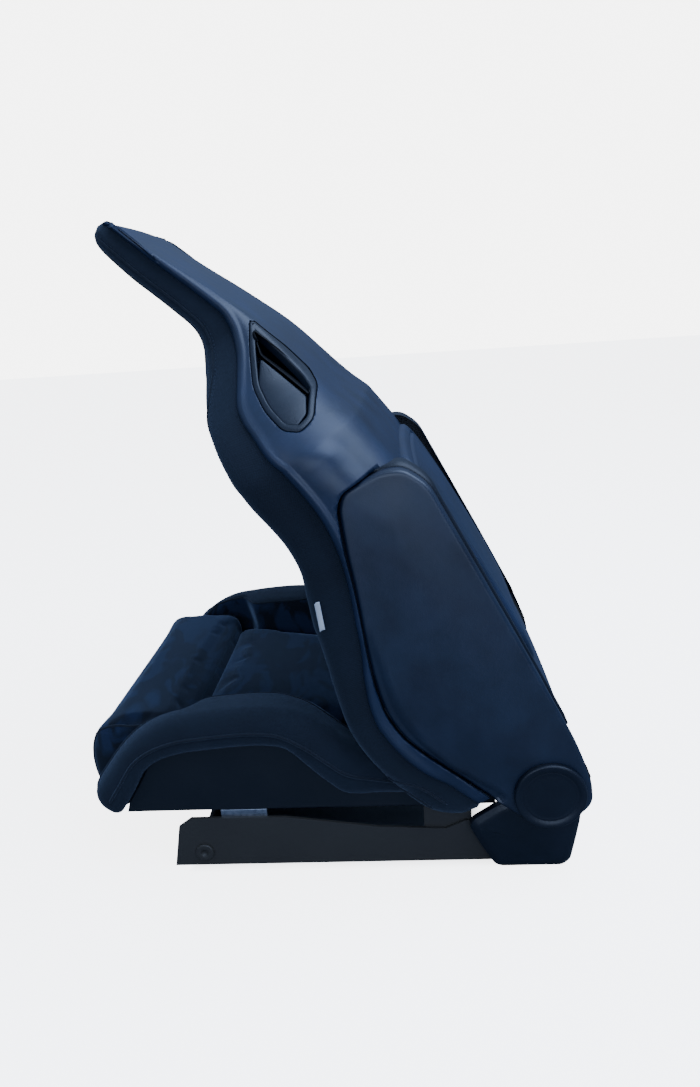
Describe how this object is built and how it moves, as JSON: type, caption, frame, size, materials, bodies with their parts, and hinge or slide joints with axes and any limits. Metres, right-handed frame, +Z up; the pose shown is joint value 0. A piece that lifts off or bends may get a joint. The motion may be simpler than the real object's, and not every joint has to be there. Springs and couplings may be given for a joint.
{
  "type": "racing seat",
  "caption": "Sport seat with a moulded shell backrest folded forward over a bolstered cushion, recliner hinges, harness openings and floor mounting side members.",
  "frame": {"origin": "on the floor, at the centre of the four floor bolts", "axes": "+Z up, the seat faces -Y, +X is the seat's left side"},
  "size_m": [0.5578, 0.6403, 0.8141],
  "materials": {
    "coated_steel": "matte black powder coat",
    "zinc_steel": "zinc plated",
    "hardened_steel": "oiled, phosphated",
    "lever_steel": "black coated",
    "pan_steel": "satin black",
    "shell_plastic": "grained satin",
    "panel_plastic": "grained satin",
    "trim_plastic": "fine grain",
    "bezel_plastic": "satin",
    "suede": "suede microfibre",
    "woven_fabric": "woven jersey",
    "tag_cloth": "plain label cloth"
  },
  "bodies": {
    "base": {"side_member_left": "coated_steel", "side_member_right": "coated_steel", "cross_tube_front": "coated_steel", "cross_tube_rear": "coated_steel", "frame_screw_left": "coated_steel", "frame_screw_right": "coated_steel", "cushion_pan": "pan_steel", "pan_bracket_front_left": "zinc_steel", "pan_bracket_front_right": "zinc_steel", "pan_bracket_rear_left": "zinc_steel", "pan_bracket_rear_right": "zinc_steel", "lower_plate_left": "coated_steel", "lower_plate_right": "coated_steel", "pivot_pin_left": "hardened_steel", "pivot_pin_right": "hardened_steel", "recliner_cover_left": "trim_plastic", "recliner_cover_right": "trim_plastic", "thigh_roll": "suede", "seat_pad": "suede", "cushion_bolster_left": "woven_fabric", "cushion_bolster_right": "woven_fabric"},
    "recliner": {"recliner_plate_left": "hardened_steel", "recliner_plate_right": "hardened_steel"},
    "handwheel": {"sync_shaft": "zinc_steel", "handwheel": "trim_plastic"},
    "release": {"release_rod": "zinc_steel", "release_lever_left": "lever_steel", "release_lever_right": "lever_steel", "latch_pawl_left": "hardened_steel", "latch_pawl_right": "hardened_steel"},
    "backrest": {"back_pad": "suede", "back_panel": "shell_plastic", "backrest_shell": "shell_plastic", "belt_bezel_left": "bezel_plastic", "belt_bezel_right": "bezel_plastic", "belt_duct_left": "bezel_plastic", "belt_duct_right": "bezel_plastic", "belt_flap_left": "bezel_plastic", "belt_flap_right": "bezel_plastic", "cross_brace": "coated_steel", "head_pad": "woven_fabric", "hinge_cap_left": "trim_plastic", "panel_screws": "zinc_steel", "seam_tag": "tag_cloth", "side_panel_left": "panel_plastic", "side_panel_right": "panel_plastic", "upper_bracket_left": "coated_steel", "upper_bracket_right": "coated_steel", "wing_left": "woven_fabric", "wing_right": "woven_fabric"}
  },
  "joints": [
    {"name": "backrest_tilt", "type": "hinge", "parent": "base", "child": "backrest", "pos_m": [0, 0.26, 0.111], "axis": [-1, 0, 0], "range_deg": [0, 92]},
    {"name": "recline", "type": "hinge", "parent": "base", "child": "recliner", "pos_m": [0, 0.26, 0.111], "axis": [-1, 0, 0], "range_deg": [0, 40]},
    {"name": "release_pull", "type": "hinge", "parent": "backrest", "child": "release", "pos_m": [0, 0.25498, 0.17969], "axis": [1, 0, 0], "range_deg": [0, 25], "stiffness_Nm_per_rad": 0.8, "springref_deg": -28.65},
    {"name": "wheel_turn", "type": "hinge", "parent": "base", "child": "handwheel", "pos_m": [0, 0.26, 0.111], "axis": [-1, 0, 0], "range_deg": [0, 1440]}
  ],
  "couplings": [
    {"joint": "wheel_turn", "follows": "recline", "ratio": 36}
  ]
}
